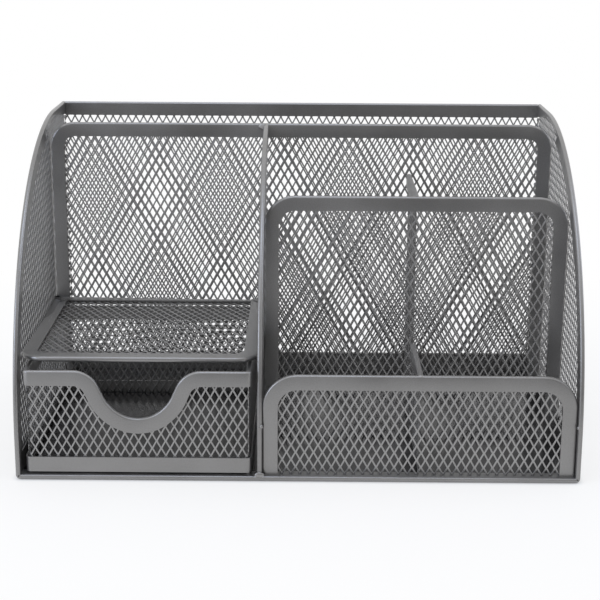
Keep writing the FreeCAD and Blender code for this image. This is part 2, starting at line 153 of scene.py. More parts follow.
def startEdit(piece, mode="FACE"):
    takeUp(piece)
    bpy.ops.object.mode_set(mode="EDIT")
    bpy.ops.mesh.select_mode(type=mode)
    bpy.ops.mesh.select_all(action="DESELECT")
    return bmesh.from_edit_mesh(piece.data)


def pick(piece, mode, test):
    # Selects, in edit mode, the parts of a piece that pass the test
    bpy.ops.mesh.select_mode(type=mode)
    bpy.ops.mesh.select_all(action="DESELECT")
    shape = bmesh.from_edit_mesh(piece.data)
    for part in {"VERT": shape.verts, "EDGE": shape.edges, "FACE": shape.faces}[mode]:
        if test(part):
            part.select = True
    shape.select_flush_mode()
    bmesh.update_edit_mesh(piece.data)


def middle(part):
    points = [v.co for v in part.verts]
    return sum(points, Vector()) / len(points)


def endEdit():
    bpy.ops.object.mode_set(mode="OBJECT")


def applyModifiers(piece):
    bpy.context.view_layer.objects.active = piece
    for modifier in list(piece.modifiers):
        bpy.ops.object.modifier_apply(modifier=modifier.name)


def newPlate(name, lowX, lowY, highX, highY):
    # Flat rectangle in the drawing plane
    bpy.ops.object.select_all(action="DESELECT")
    bpy.ops.mesh.primitive_plane_add(size=mm, location=((lowX + highX) / 2 * mm, (lowY + highY) / 2 * mm, 0))
    piece = bpy.context.object
    piece.name = name
    piece.scale = (highX - lowX, highY - lowY, 1)
    bpy.ops.object.transform_apply(location=True, rotation=True, scale=True)
    return piece


def roundCorner(piece, x, y, radius, segments):
    # Rounds one corner of an outline. At corners that aren't square the profile is set so that
    # the curve passes through the middle of the true arc.
    shape = startEdit(piece, "VERT")
    target = Vector((x * mm, y * mm, 0))
    corner = min(shape.verts, key=lambda v: (v.co - target).length)
    arms = [(edge.other_vert(corner).co - corner.co).normalized() for edge in corner.link_edges]
    half = arms[0].angle(arms[1]) / 2
    reach = radius / math.tan(half)
    depth = (radius / math.sin(half) - radius) / (2 * reach * math.cos(half))
    corner.select = True
    shape.select_flush_mode()
    bmesh.update_edit_mesh(piece.data)
    bpy.ops.mesh.bevel(offset_type="ABSOLUTE", offset=reach * mm, segments=segments, profile=(1 - depth) ** 2,
                       affect="VERTICES", clamp_overlap=False)
    endEdit()


def trim(piece, point, away):
    # Cuts off all that lies on the far side of a line or plane
    startEdit(piece)
    bpy.ops.mesh.select_all(action="SELECT")
    bpy.ops.mesh.bisect(plane_co=Vector(point) * mm, plane_no=away, clear_outer=True, use_fill=False)
    endEdit()


def marked(piece, layerName):
    # Test for edges that carry a mark
    layer = bmesh.from_edit_mesh(piece.data).edges.layers.float.get(layerName)
    return lambda edge: edge[layer] > 0.5


def openRing(piece, width):
    # Leaves a band of the given width inside an outline. Its outer edge is marked for the fold's
    # bevel, and its inner edge for the slit that takes the sheet.
    startEdit(piece)
    bpy.ops.mesh.select_all(action="SELECT")
    bpy.ops.mesh.region_to_loop()
    bpy.ops.transform.edge_bevelweight(value=1)
    pick(piece, "FACE", lambda face: True)
    bpy.ops.mesh.inset(thickness=width * mm, use_even_offset=True, use_boundary=True)
    bpy.ops.mesh.region_to_loop()
    bpy.ops.transform.edge_bevelweight(value=-1)
    bpy.ops.transform.edge_crease(value=1)
    creased = marked(piece, "crease_edge")
    pick(piece, "FACE", lambda face: all(creased(edge) for edge in face.edges))
    bpy.ops.mesh.delete(type="FACE")
    endEdit()


def foldStrip(piece, thickness, gauge, slit=True):
    # Gives a flat band its thickness, rolls its outer edges over, and opens the slit between the
    # two flanges where the sheet goes in
    solid = piece.modifiers.new("thickness", "SOLIDIFY")
    solid.thickness = thickness * mm
    solid.offset = 0
    roll = piece.modifiers.new("roll", "BEVEL")
    roll.limit_method = "WEIGHT"
    roll.width = thickness * sizes["roll"] * mm
    roll.segments = sizes["rollSegments"]
    roll.use_clamp_overlap = False
    applyModifiers(piece)
    if slit:
        startEdit(piece)
        creased = marked(piece, "crease_edge")
        pick(piece, "FACE", lambda face: sum(creased(edge) for edge in face.edges) > 1 and abs(face.normal.z) < 0.1)
        bpy.ops.mesh.inset(thickness=gauge * mm, use_even_offset=True, use_boundary=False)
        bpy.ops.mesh.extrude_region_shrink_fatten(TRANSFORM_OT_shrink_fatten={"value": -sizes["slitDepth"] * mm})
        endEdit()


standing = {
    "across": Matrix(((1, 0, 0, 0), (0, 0, -1, 0), (0, 1, 0, 0), (0, 0, 0, 1))),
    "along": Matrix(((0, 0, 1, 0), (1, 0, 0, 0), (0, 1, 0, 0), (0, 0, 0, 1))),
    "flat": Matrix.Identity(4),
}
facing = {"across": Vector((0, 1, 0)), "along": Vector((1, 0, 0)), "flat": Vector((0, 0, 1))}


def stand(piece, way, place):
    # Drawing plane to its place: across is set by Y, along by X and flat by Z
    piece.matrix_world = Matrix.Translation(facing[way] * place * mm) @ standing[way]
    takeUp(piece)
    bpy.ops.object.transform_apply(location=True, rotation=True, scale=True)


# angles up to which an edge is shaded smooth
smooth = {"strip": 40, "mesh": 180, "weld": 80}


def finishPiece(piece, material, body, nodes, angle):
    # Paint, shading that is smooth up to an angle, and the imported nodes that the piece stands in for are hidden
    piece.data.materials.clear()
    piece.data.materials.append(material)
    takeUp(piece)
    bpy.ops.object.shade_smooth_by_angle(angle=math.radians(angle))
    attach(piece, body)
    if nodes:
        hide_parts(*nodes)


def mirrorCopy(piece, name):
    # The same piece for the other side. Mirroring turns its faces inside out, so they are set right.
    twin = piece.copy()
    twin.data = piece.data.copy()
    twin.name = name
    bpy.context.collection.objects.link(twin)
    twin.scale = (-1, 1, 1)
    takeUp(twin)
    bpy.ops.object.transform_apply(location=True, rotation=True, scale=True)
    startEdit(twin)
    bpy.ops.mesh.select_all(action="SELECT")
    bpy.ops.mesh.normals_make_consistent(inside=False)
    endEdit()
    return twin


# Sizes that the pieces share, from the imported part

sizes = {
    "left": -110.0, "right": 110.0, "front": -70.0, "back": 70.0, "top": 129.0,
    "edgeChannel": 1.9, "edgeGauge": 0.5, "innerChannel": 2.1, "innerGauge": 0.6,
    "flange": 6.0, "bead": 2.0, "curve": 113.0, "curveY": 43.0, "curveZ": 16.0, "curveSegments": 56,
    "curveCuts": 20, "cornerSegments": 12, "rollSegments": 4, "floorTop": 1.4,
    "roll": 0.42,  # radius of a rolled edge, as a share of the strip's thickness
    "slitDepth": 1.2, "tuck": 3.0,  # how deep the slit is, and how far a sheet reaches into its strip
    "overrun": 12.0,  # spare length that is cut off again, so that a strip ends square
}


# The expanded sheet: one diamond and its neighbour, repeated

weave = {
    "shortWay": 3.5, "longWay": 6.0, "strand": 0.5, "bond": 0.13, "lean": 0.12, "gauge": 0.25,
    "touch": 0.01,  # corners closer than this are joined
}


def makeCell():
    bpy.ops.object.select_all(action="DESELECT")
    bpy.ops.mesh.primitive_circle_add(vertices=4, radius=mm, fill_type="NGON", location=(0, 0, 0))
    cell = bpy.context.object
    cell.name = "diamondCell"
    cell.scale = (weave["shortWay"] / 2, weave["longWay"] / 2, 1)
    bpy.ops.object.transform_apply(location=True, rotation=True, scale=True)
    startEdit(cell)
    pick(cell, "FACE", lambda face: True)
    bpy.ops.mesh.inset(thickness=weave["strand"] / 2 * mm, use_even_offset=True)
    bpy.ops.mesh.delete(type="FACE")
    # the strands lean, as they do where the sheet was slit and drawn open, and the bonds are wide:
    # the opening's two side corners, but not the cell's own, move inwards and down
    inside = 0.9 * weave["shortWay"] / 2 * mm
    for side in (-1, 1):
        pick(cell, "VERT", lambda v: abs(v.co.y) < 1e-6 and 0 < v.co.x * side < inside)
        bpy.ops.transform.translate(value=(-side * weave["bond"] * mm, 0, -side * weave["lean"] * mm))
    pick(cell, "FACE", lambda face: True)
    bpy.ops.mesh.duplicate_move(TRANSFORM_OT_translate={
        "value": (weave["shortWay"] / 2 * mm, weave["longWay"] / 2 * mm, 0)})
    bpy.ops.mesh.select_all(action="SELECT")
    bpy.ops.mesh.remove_doubles(threshold=weave["touch"] * mm)
    endEdit()
    return cell


diamondCell = makeCell()


def repeatShape(piece, name, count, step, join=True):
    # Copies a shape along a step, joined where the copies touch
    repeat = piece.modifiers.new(name, "ARRAY")
    repeat.count = count
    repeat.use_relative_offset = False
    repeat.use_constant_offset = True
    repeat.constant_offset_displace = Vector(step) * mm
    repeat.use_merge_vertices = join
    repeat.merge_threshold = weave["touch"] * mm


def drawSheet(name, lowX, lowY, highX, highY, phase, lean=1):
    # Sheet of diamonds that covers a rectangle of the drawing plane, trimmed to it. Its strands lean
    # as in the cell with lean 1, more with a larger value, and the other way below zero.
    sheet = diamondCell.copy()
    sheet.data = diamondCell.data.copy()
    sheet.name = name
    bpy.context.collection.objects.link(sheet)
    takeUp(sheet)
    repeatShape(sheet, "across", math.ceil((highX - lowX) / weave["shortWay"]) + 2, (weave["shortWay"], 0, 0))
    repeatShape(sheet, "up", math.ceil((highY - lowY) / weave["longWay"]) + 2, (0, weave["longWay"], 0))
    applyModifiers(sheet)
    sheet.scale = (1, 1, lean)
    sheet.location = ((lowX - (0.5 + phase) * weave["shortWay"]) * mm, (lowY - 0.5 * weave["longWay"]) * mm, 0)
    bpy.ops.object.transform_apply(location=True, rotation=True, scale=True)
    for point, away in (((lowX, 0, 0), (-1, 0, 0)), ((highX, 0, 0), (1, 0, 0)),
                        ((0, lowY, 0), (0, -1, 0)), ((0, highY, 0), (0, 1, 0))):
        trim(sheet, point, away)
    return sheet


def trimCurve(sheet, centreX, centreY, radius, arc):
    # Straight cuts round an arc, close enough to hide in the strip
    for i in range(sizes["curveCuts"]):
        angle = math.radians(arc[0] + (arc[1] - arc[0]) * (i + 0.5) / sizes["curveCuts"])
        away = (math.cos(angle), math.sin(angle), 0)
        trim(sheet, (centreX + radius * away[0], centreY + radius * away[1], 0), away)


def thickenSheet(sheet):
    solid = sheet.modifiers.new("gauge", "SOLIDIFY")
    solid.thickness = weave["gauge"] * mm
    solid.offset = 0
    applyModifiers(sheet)


# Sides: sheet up to the arc, edged with the long bent strip

sideParts = {
    "sheetMiddle": 109.05, "sheetBottom": 7.0, "sheetRear": 69.3, "hidden": 1.1,
    "slantY": 16.0, "slantZ": 119.9, "tailZ": 123.0, "rightLean": 2.2, "leftLean": 0.75,
    "phase": 0.0, "arc": (90, 180),
}


def makeSideSheets():
    # the right sheet's strands lean more, as more shows through it from the front
    for side, name, node in ((1, "right", "right_side_mesh"), (-1, "left", "left_side_mesh")):
        sheet = drawSheet(name + "SideMesh", sizes["front"] + sideParts["hidden"], sideParts["sheetBottom"],
                          sideParts["sheetRear"], sizes["top"] - sideParts["hidden"], sideParts["phase"],
                          sideParts[name + "Lean"])
        trimCurve(sheet, sizes["curveY"], sizes["curveZ"], sizes["curve"] - sideParts["hidden"], sideParts["arc"])
        thickenSheet(sheet)
        stand(sheet, "along", side * sideParts["sheetMiddle"])
        finishPiece(sheet, litMeshPaint, "carcass", [node], smooth["mesh"])


bend = {
    "radius": 2.4, "sideFlats": (-12, -34), "frontFlats": (-56, -78),
    "holeX": 108.7, "holeZ": 1.25, "holeRadius": 0.45, "holeDepth": 3.0,
}


def cutClean(piece, point, away):
    # Cuts a solid with a plane and closes the cut
    startEdit(piece)
    bpy.ops.mesh.select_all(action="SELECT")
    bpy.ops.mesh.bisect(plane_co=Vector(point) * mm, plane_no=away, clear_outer=True, use_fill=True)
    endEdit()


def bendPlane(angle):
    # Flat of the right front corner's bend, at an angle from level
    away = Vector((math.cos(math.radians(angle)), 0, math.sin(math.radians(angle))))
    middleX = sizes["right"] - bend["radius"]
    return Vector((middleX, 0, bend["radius"])) + away * bend["radius"], away


def drillCorner(piece):
    # The small hole that the fold leaves at the right front corner
    bpy.ops.object.select_all(action="DESELECT")
    bpy.ops.mesh.primitive_cylinder_add(
        vertices=16, radius=bend["holeRadius"] * mm, depth=bend["holeDepth"] * mm, rotation=(math.pi / 2, 0, 0),
        location=(bend["holeX"] * mm, sizes["front"] * mm, bend["holeZ"] * mm))
    drill = bpy.context.object
    hole = piece.modifiers.new("hole", "BOOLEAN")
    hole.operation = "DIFFERENCE"
    hole.object = drill
    hole.solver = "EXACT"
    applyModifiers(piece)
    bpy.data.objects.remove(drill)


def makeSideChannels():
    piece = newPlate("rightEdgeChannel", sizes["front"], -sizes["overrun"], sizes["back"] + sizes["overrun"],
                     sizes["top"])
    roundCorner(piece, sizes["front"], sizes["top"], sizes["curve"], sizes["curveSegments"])
    # the bead that runs on everywhere, then the flange that is cut away near the top
    startEdit(piece)
    bpy.ops.mesh.select_all(action="SELECT")
    bpy.ops.mesh.region_to_loop()
    bpy.ops.transform.edge_bevelweight(value=1)
    pick(piece, "FACE", lambda face: True)
    bpy.ops.mesh.inset(thickness=sizes["bead"] * mm, use_even_offset=True, use_boundary=True)
    bpy.ops.mesh.region_to_loop()
    bpy.ops.transform.edge_bevelweight(value=-1)
    centre = Vector((sizes["curveY"], sizes["curveZ"], 0)) * mm
    # the one face inside the bead has a corner for every step of the arc
    pick(piece, "FACE", lambda face: len(face.verts) > 8)
    bpy.ops.mesh.inset(thickness=(sizes["flange"] - sizes["bead"]) * mm, use_even_offset=True, use_boundary=True)
    bpy.ops.mesh.delete(type="FACE")

    def inFlange(face):
        spot = middle(face)
        lower = spot.x < centre.x and (spot - centre).length < (sizes["curve"] - sizes["bead"]) * mm
        flat = spot.x >= centre.x and spot.y < (sizes["top"] - sizes["bead"]) * mm
        return spot.y > centre.y and (lower or flat)

    slantPoint = Vector((sideParts["slantY"], sideParts["slantZ"], 0)) * mm
    slant = Vector((1, 1, 0)).normalized()
    pick(piece, "FACE", lambda face: inFlange(face) and middle(face).x < centre.x)
    bpy.ops.mesh.bisect(plane_co=slantPoint, plane_no=slant)
    run = sizes["back"] - sizes["curveY"]
    drop = sizes["flange"] - sizes["bead"]
    tailPoint = Vector((sizes["back"], sideParts["tailZ"], 0)) * mm
    tail = Vector((drop, run, 0)).normalized()
    pick(piece, "FACE", lambda face: inFlange(face) and middle(face).x >= centre.x)
    bpy.ops.mesh.bisect(plane_co=tailPoint, plane_no=tail)

    def wasted(face):
        spot = middle(face)
        if not inFlange(face):
            return False
        if spot.x < centre.x:
            return (spot - slantPoint).dot(slant) > 0
        return (spot - tailPoint).dot(tail) < 0 and spot.x < (sizes["back"] + sizes["overrun"] / 2) * mm

    pick(piece, "FACE", wasted)
    bpy.ops.mesh.delete(type="FACE")
    # every open edge but the outer one takes the sheet
    pick(piece, "EDGE", lambda edge: edge.is_boundary)
    bpy.ops.transform.edge_crease(value=1)
    weighted = marked(piece, "bevel_weight_edge")
    pick(piece, "EDGE", weighted)
    bpy.ops.transform.edge_crease(value=-1)
    endEdit()
    trim(piece, (sizes["back"], 0, 0), (1, 0, 0))
    trim(piece, (0, 0, 0), (0, -1, 0))
    foldStrip(piece, sizes["edgeChannel"], sizes["edgeGauge"])
    stand(piece, "along", sizes["right"] - sizes["edgeChannel"] / 2)
    for angle in bend["sideFlats"]:
        cutClean(piece, *bendPlane(angle))
    cutClean(piece, (sizes["right"], 0, 0), (-1, 0, -1))
    drillCorner(piece)
    twin = mirrorCopy(piece, "leftEdgeChannel")
    finishPiece(piece, stripPaint, "carcass", ["right_edge_channel"], smooth["strip"])
    finishPiece(twin, stripPaint, "carcass", ["left_edge_channel"], smooth["strip"])


def makeFrontChannel():
    # The same strip goes on across the bottom front, mitred to both sides
    width = sizes["right"] - sizes["left"]
    bpy.ops.object.select_all(action="DESELECT")
    bpy.ops.mesh.primitive_cube_add(size=mm, location=(
        0, (sizes["front"] + sizes["flange"] / 2) * mm, sizes["edgeChannel"] / 2 * mm))
    piece = bpy.context.object
    piece.name = "frontEdgeChannel"
    piece.scale = (width, sizes["flange"], sizes["edgeChannel"])
    bpy.ops.object.transform_apply(location=True, rotation=True, scale=True)
    startEdit(piece)
    # its two long front edges are rolled over
    pick(piece, "EDGE", lambda edge: middle(edge).y < (sizes["front"] + 0.1) * mm and abs(middle(edge).x) < mm)
    bpy.ops.mesh.bevel(offset=sizes["edgeChannel"] * sizes["roll"] * mm, segments=sizes["rollSegments"],
                       affect="EDGES")
    endEdit()
    for angle in bend["frontFlats"]:
        point, away = bendPlane(angle)
        cutClean(piece, point, away)
        cutClean(piece, (-point.x, point.y, point.z), (-away.x, away.y, away.z))
    cutClean(piece, (sizes["right"], 0, 0), (1, 0, 1))
    cutClean(piece, (sizes["left"], 0, 0), (-1, 0, 1))
    finishPiece(piece, stripPaint, "carcass", ["front_edge_channel"], smooth["strip"])


makeSideSheets()
makeSideChannels()
makeFrontChannel()
print("sides made")


# Back sheet

backParts = {"halfWidth": 108.6, "low": 8.5, "high": 126.0, "middle": 69.05, "phase": 0.17}
bonds = {"x": 108.35, "y": 68.5, "low": 11.0, "high": 122.0, "size": (0.5, 0.5, 0.95), "uneven": 0.08}


def makeBackSheet():
    back = drawSheet("backMesh", -backParts["halfWidth"], backParts["low"], backParts["halfWidth"],
                     backParts["high"], backParts["phase"])
    thickenSheet(back)
    stand(back, "across", backParts["middle"])
    finishPiece(back, litMeshPaint, "carcass", ["back_mesh"], smooth["mesh"])


def makeBackBonds():
    # Bonds of the mesh where it turns the back corners, one every half diamond
    bpy.ops.object.select_all(action="DESELECT")
    bpy.ops.mesh.primitive_ico_sphere_add(
        subdivisions=2, radius=mm, location=(bonds["x"] * mm, bonds["y"] * mm, bonds["low"] * mm))
    row = bpy.context.object
    row.name = "rightBackBonds"
    row.scale = bonds["size"]
    bpy.ops.object.transform_apply(location=True, rotation=True, scale=True)
    startEdit(row)
    bpy.ops.mesh.select_all(action="SELECT")
    bpy.ops.transform.vertex_random(offset=bonds["uneven"] * mm, uniform=0, normal=1, seed=3)
    endEdit()
    pitch = weave["longWay"] / 2
    repeatShape(row, "up", math.floor((bonds["high"] - bonds["low"]) / pitch) + 1, (0, 0, pitch), join=False)
    applyModifiers(row)
    twin = mirrorCopy(row, "leftBackBonds")
    finishPiece(row, weldPaint, "carcass", [], smooth["weld"])
    finishPiece(twin, weldPaint, "carcass", [], smooth["weld"])


makeBackSheet()
makeBackBonds()
print("back sheet made")


# Cross panels: an upside-down U of strip round a sheet that stands on the floor

panels = {
    "tallPanel": {"left": -108.6, "right": 108.6, "middle": 29.0, "top": 125.45, "foot": 1.4, "corner": 10.5,
                  "nodes": ("tall_panel_frame", "tall_panel_mesh"), "phase": 0.36},
    "mediumPanel": {"left": -14.55, "right": 108.6, "middle": -22.6, "top": 103.89, "foot": 1.4, "corner": 12.5,
                    "nodes": ("medium_panel_frame", "medium_panel_mesh"), "phase": 0.3},
    "lowPanel": {"left": -13.95, "right": 108.1, "middle": -66.5, "top": 42.6, "foot": 1.9, "corner": 13.5,
                 "nodes": ("low_panel_frame", "low_panel_mesh"), "phase": 0.15},
}


def makePanel(name):
    panel = panels[name]
    frameStrip = newPlate(name + "Frame", panel["left"], -sizes["overrun"], panel["right"], panel["top"])
    for x in (panel["left"], panel["right"]):
        roundCorner(frameStrip, x, panel["top"], panel["corner"], sizes["cornerSegments"])
    openRing(frameStrip, sizes["flange"])
    trim(frameStrip, (0, panel["foot"], 0), (0, -1, 0))
    foldStrip(frameStrip, sizes["innerChannel"], sizes["innerGauge"])
    stand(frameStrip, "across", panel["middle"])
    finishPiece(frameStrip, stripPaint, "carcass", [panel["nodes"][0]], smooth["strip"])
    tuck = sizes["tuck"]
    sheet = drawSheet(name + "Mesh", panel["left"] + tuck, panel["foot"], panel["right"] - tuck,
                      panel["top"] - tuck, panel["phase"])
    radius = panel["corner"]
    for side, x in ((-1, panel["left"] + radius), (1, panel["right"] - radius)):
        away = Vector((side, 1, 0)).normalized()
        spot = Vector((x, panel["top"] - radius, 0)) + away * (radius - tuck / 2)
        trim(sheet, spot, away)
    thickenSheet(sheet)
    stand(sheet, "across", panel["middle"])
    finishPiece(sheet, litMeshPaint, "carcass", [panel["nodes"][1]], smooth["mesh"])


for name in panels:
    makePanel(name)
print("cross panels made:", len(panels))


# Main divider beside the drawer: its strip follows the sides' curve

divider = {
    "middle": -15.0, "front": -69.0, "rear": 27.95, "top": 126.6, "curveY": 44.0, "curveZ": 13.6,
    "foot": 1.9, "hidden": 2.5, "phase": 0.4, "arc": (95, 180),
}


def makeMainDivider():
    rim = newPlate("mainDividerRim", divider["front"], -sizes["overrun"], divider["curveY"] + sizes["overrun"],
                   divider["top"])
    roundCorner(rim, divider["front"], divider["top"], sizes["curve"], sizes["curveSegments"])
    openRing(rim, sizes["flange"])
    trim(rim, (divider["rear"], 0, 0), (1, 0, 0))
    trim(rim, (0, divider["foot"], 0), (0, -1, 0))
    foldStrip(rim, sizes["innerChannel"], sizes["innerGauge"])
    stand(rim, "along", divider["middle"])
    finishPiece(rim, stripPaint, "carcass", ["main_divider_rim"], smooth["strip"])
    sheet = drawSheet("mainDividerMesh", divider["front"] + divider["hidden"], sizes["floorTop"], divider["rear"],
                      divider["top"] - divider["hidden"], divider["phase"])
    trimCurve(sheet, divider["curveY"], divider["curveZ"], sizes["curve"] - divider["hidden"], divider["arc"])
    thickenSheet(sheet)
    stand(sheet, "along", divider["middle"])
    finishPiece(sheet, litMeshPaint, "carcass", ["main_divider_mesh"], smooth["mesh"])


makeMainDivider()
print("main divider made")


# Pocket dividers: sheet between two cross panels, with strip along the top only

pocketDividers = {
    "frontDivider": {"from": -65.45, "to": -23.65, "top": 42.6,
                     "nodes": ("front_divider_rim", "front_divider_mesh"), "phase": 0.2},
    "rearDivider": {"from": -21.55, "to": 27.95, "top": 103.89,
                    "nodes": ("rear_divider_rim", "rear_divider_mesh"), "phase": 0.2},
}
pocketDividerX = 47.08


def makePocketDivider(name):
    wall = pocketDividers[name]
    rim = newPlate(name + "Rim", wall["from"], wall["top"] - sizes["flange"], wall["to"], wall["top"])
    startEdit(rim)
    pick(rim, "EDGE", lambda edge: middle(edge).y > (wall["top"] - 1) * mm)
    bpy.ops.transform.edge_bevelweight(value=1)
    pick(rim, "EDGE", lambda edge: middle(edge).y < (wall["top"] - sizes["flange"] + 1) * mm)
    bpy.ops.transform.edge_crease(value=1)
    endEdit()
    foldStrip(rim, sizes["innerChannel"], sizes["innerGauge"], slit=False)
    stand(rim, "along", pocketDividerX)
    finishPiece(rim, stripPaint, "carcass", [wall["nodes"][0]], smooth["strip"])
    sheet = drawSheet(name + "Mesh", wall["from"], sizes["floorTop"], wall["to"],
                      wall["top"] - sizes["tuck"], wall["phase"])
    thickenSheet(sheet)
    stand(sheet, "along", pocketDividerX)
    finishPiece(sheet, litMeshPaint, "carcass", [wall["nodes"][1]], smooth["mesh"])


for name in pocketDividers:
    makePocketDivider(name)
print("pocket dividers made:", len(pocketDividers))


# Tray over the drawer

deck = {
    "left": -108.6, "right": -15.45, "front": -62.5, "rear": 27.95, "middle": 46.75,
    "frontCorner": 9.5, "rearCorner": 2.0, "rearSegments": 4, "phase": 0.1,
}


def makeDeck():
    ring = newPlate("deckFrame", deck["left"], deck["front"], deck["right"], deck["rear"])
    for x in (deck["left"], deck["right"]):
        roundCorner(ring, x, deck["front"], deck["frontCorner"], sizes["cornerSegments"])
        roundCorner(ring, x, deck["rear"], deck["rearCorner"], deck["rearSegments"])
    openRing(ring, sizes["flange"])
    foldStrip(ring, sizes["innerChannel"], sizes["innerGauge"])
    stand(ring, "flat", deck["middle"])
    finishPiece(ring, stripPaint, "carcass", ["deck_frame"], smooth["strip"])
    tuck = sizes["tuck"]
    sheet = drawSheet("deckMesh", deck["left"] + tuck, deck["front"] + tuck, deck["right"] - tuck,
                      deck["rear"] - tuck, deck["phase"])
    thickenSheet(sheet)
    stand(sheet, "flat", deck["middle"])
    finishPiece(sheet, litMeshPaint, "carcass", ["deck_mesh"], smooth["mesh"])


makeDeck()
print("deck made")


# Spot welds and the divider's bent tab

welds = {
    "dividerFootWeld": {"at": (-15.0, -69.2, 2.1), "size": (2.1, 0.7, 1.5)},
    "dividerSideWeld": {"at": (-14.3, -68.7, 22.0), "size": (0.8, 0.6, 0.9)},
    "rightSideWeld": {"at": (108.5, -68.9, 22.5), "size": (1.0, 0.9, 0.9)},
    "frontDividerWeld": {"at": (47.1, -66.3, 42.1), "size": (1.5, 1.2, 0.75)},
}
weldUneven = 0.12


def makeWelds():
    for name, weld in welds.items():
        bpy.ops.object.select_all(action="DESELECT")
        bpy.ops.mesh.primitive_ico_sphere_add(subdivisions=3, radius=mm, location=[c * mm for c in weld["at"]])
        blob = bpy.context.object
        blob.name = name
        blob.scale = weld["size"]
        bpy.ops.object.transform_apply(location=True, rotation=True, scale=True)
        startEdit(blob)
        pick(blob, "VERT", lambda v: True)
        bpy.ops.transform.vertex_random(offset=weldUneven * mm, uniform=0, normal=1, seed=len(name))
        bpy.ops.mesh.vertices_smooth(factor=0.5, repeat=2)
        endEdit()
        finishPiece(blob, weldPaint, "carcass", [], smooth["weld"])


tab = {
    "right": -16.05, "length": 2.2, "lap": 0.8, "top": 125.45, "height": 3.2, "lift": 1.1, "soft": 0.35,
    "front": 26.75, "rear": 27.95,
}


def makeTab():
    # Its free end tapers, and its lower edge stands forward and catches the light
    plate = newPlate("dividerTab", tab["right"] - tab["length"], tab["top"] - tab["height"],
                     tab["right"] + tab["lap"], tab["top"])
    startEdit(plate)
    pick(plate, "VERT", lambda v: v.co.x < (tab["right"] - 1) * mm and v.co.y < (tab["top"] - 1) * mm)
    bpy.ops.transform.translate(value=(0, tab["height"] / 2 * mm, 0))
    pick(plate, "VERT", lambda v: v.co.y < (tab["top"] - 1) * mm)
    bpy.ops.transform.translate(value=(0, 0, tab["lift"] * mm))
    endEdit()
    solid = plate.modifiers.new("gauge", "SOLIDIFY")
    solid.thickness = (tab["rear"] - tab["front"]) * mm
    solid.offset = 0
    soft = plate.modifiers.new("soft", "BEVEL")
    soft.width = tab["soft"] * mm
    soft.segments = 3
    applyModifiers(plate)
    stand(plate, "across", (tab["front"] + tab["rear"]) / 2)
    finishPiece(plate, stripPaint, "carcass", [], smooth["strip"])


makeWelds()
makeTab()
print("welds made:", len(welds))


# Drawer

drawer = {
    "left": -106.1, "right": -18.05, "front": -68.8, "rear": 26.65, "top": 44.1, "corner": 2.2,
    "bandLow": 3.0, "bandHigh": 9.0, "meshLow": 3.6, "sheetOffset": 1.05, "upstand": 0.6,
    "scoopDepth": 19.2, "scoopSlope": 66.0, "bowl": 14.2, "shoulder": 10.5, "scoopTuck": 2.5,
    "cornerSegments": 6, "bowlSegments": 20, "shoulderSegments": 8, "rimRoll": 0.4,
}


def scoopSpots():
    slope = math.tan(math.radians(drawer["scoopSlope"]))
    mouth = drawer["bowl"] * math.tan(math.radians(drawer["scoopSlope"]) / 2) + drawer["scoopDepth"] / slope
    centre = (drawer["left"] + drawer["right"]) / 2
    return centre, mouth, drawer["top"] - mouth * slope


def scoopPlate(name):
    # Front elevation with the finger scoop in its top edge
    centre, mouth, meetZ = scoopSpots()
    spare = sizes["overrun"]
    plate = newPlate(name, drawer["left"] - spare, -spare, drawer["right"] + spare, drawer["top"])
    startEdit(plate)
    pick(plate, "EDGE", lambda edge: middle(edge).y > (drawer["top"] - 1) * mm)
    bpy.ops.mesh.subdivide(number_cuts=3)
    endEdit()
    shape = startEdit(plate, "VERT")
    top = sorted([v for v in shape.verts if v.co.y > (drawer["top"] - 1) * mm], key=lambda v: v.co.x)
    places = [(centre - mouth, drawer["top"]), (centre, meetZ), (centre + mouth, drawer["top"])]
    for vert, (x, y) in zip(top[1:4], places):
        vert.co = (x * mm, y * mm, 0)
    bmesh.update_edit_mesh(plate.data)
    endEdit()
    roundCorner(plate, centre, meetZ, drawer["bowl"], drawer["bowlSegments"])
    for x in (centre - mouth, centre + mouth):
        roundCorner(plate, x, drawer["top"], drawer["shoulder"], drawer["shoulderSegments"])
    return plate


def makeFrontBand():
    band = scoopPlate("drawerFrontBand")
    openRing(band, sizes["flange"])
    trim(band, (drawer["left"] + drawer["corner"], 0, 0), (-1, 0, 0))
    trim(band, (drawer["right"] - drawer["corner"], 0, 0), (1, 0, 0))
    trim(band, (0, drawer["bandHigh"], 0), (0, -1, 0))
    foldStrip(band, sizes["innerChannel"], sizes["innerGauge"])
    stand(band, "across", drawer["front"] + sizes["innerChannel"] / 2)
    finishPiece(band, stripPaint, "drawer", ["drawer_front_band"], smooth["strip"])


def drawerRing(name, width, low, high, foldTop):
    # Band round the drawer's walls between two heights
    ring = newPlate(name, drawer["left"], drawer["front"], drawer["right"], drawer["rear"])
    for x in (drawer["left"], drawer["right"]):
        for y in (drawer["front"], drawer["rear"]):
            roundCorner(ring, x, y, drawer["corner"], drawer["cornerSegments"])
    openRing(ring, width)
    startEdit(ring)
    bpy.ops.mesh.select_all(action="SELECT")
    bpy.ops.mesh.extrude_region_move(TRANSFORM_OT_translate={"value": (0, 0, (high - low) * mm)})
    bpy.ops.mesh.select_all(action="SELECT")
    bpy.ops.mesh.normals_make_consistent(inside=False)
    if foldTop:
        pick(ring, "FACE", lambda face: face.normal.z > 0.9)
        bpy.ops.mesh.region_to_loop()
        bpy.ops.mesh.bevel(offset=sizes["innerChannel"] * drawer["rimRoll"] * mm, segments=sizes["rollSegments"],
                           affect="EDGES")
    endEdit()
    stand(ring, "flat", low)
    return ring


